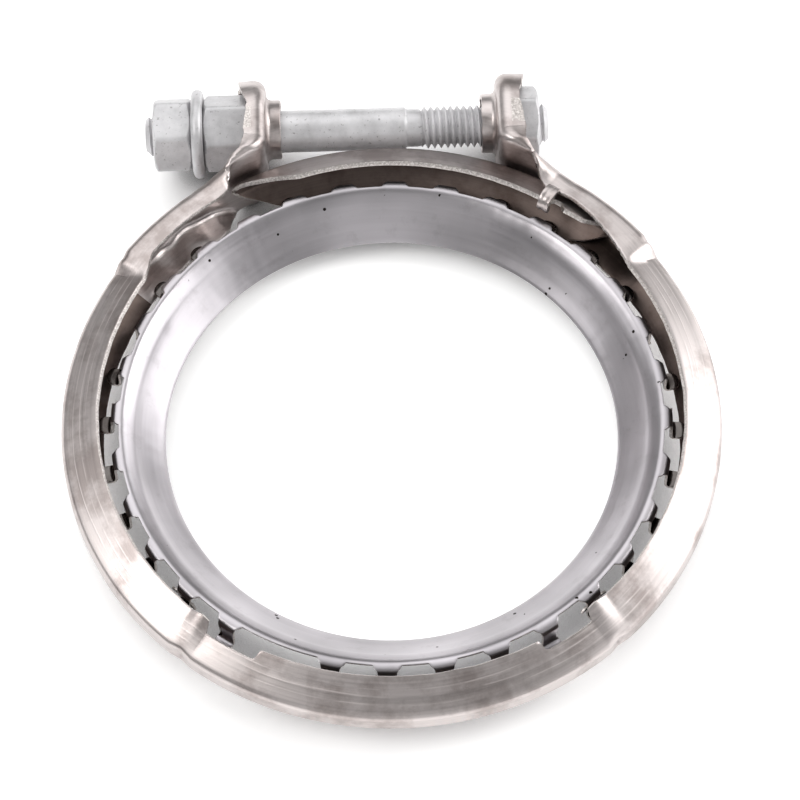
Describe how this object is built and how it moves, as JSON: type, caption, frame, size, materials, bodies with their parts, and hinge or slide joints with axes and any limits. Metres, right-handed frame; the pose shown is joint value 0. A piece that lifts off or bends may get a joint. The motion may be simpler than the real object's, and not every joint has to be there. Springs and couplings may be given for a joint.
{
  "type": "exhaust v-band clamp",
  "caption": "V-profile band clamp with a fingered gasket ring inside, a bridge segment under the gap and a clamping bolt with a threaded stub.",
  "frame": {"origin": "on the axis of the band, in the middle plane of its V section", "axes": "+Z along the pipe axis, +Y towards the bolt, the bolt parallel to X with its head on the -X side"},
  "size_m": [0.118, 0.132, 0.0204],
  "materials": {
    "band_steel": "rolled stainless sheet, satin, with fine streaks round the band",
    "bridge_steel": "rolled stainless sheet, satin",
    "gasket_steel": "thin smooth stainless sheet, half bright",
    "bolt_zinc": "matt light grey zinc flake coating with dark specks",
    "nut_zinc": "matt light grey zinc flake coating with dark specks"
  },
  "bodies": {
    "clamp": {"clamp_band": "band_steel", "bridge_segment": "bridge_steel", "gasket_ring": "gasket_steel", "captive_nut": "nut_zinc"},
    "bolt": {"clamp_bolt": "bolt_zinc"},
    "washer": {"nut_washer": "nut_zinc"},
    "nut": {"stub_nut": "nut_zinc"}
  },
  "joints": [
    {"name": "bolt_turn", "type": "hinge", "parent": "clamp", "child": "bolt", "pos_m": [0, 0.063, 0], "axis": [1, 0, 0], "continuous": true},
    {"name": "washer_travel", "type": "slide", "parent": "bolt", "child": "washer", "axis": [-1, 0, 0], "range_m": [0, 0.0051]},
    {"name": "nut_turn", "type": "hinge", "parent": "washer", "child": "nut", "pos_m": [-0.039, 0.063, 0], "axis": [-1, 0, 0], "range_deg": [0, 1440]}
  ],
  "couplings": [
    {"joint": "washer_travel", "follows": "nut_turn", "m_per_rad": 0.00019894}
  ]
}
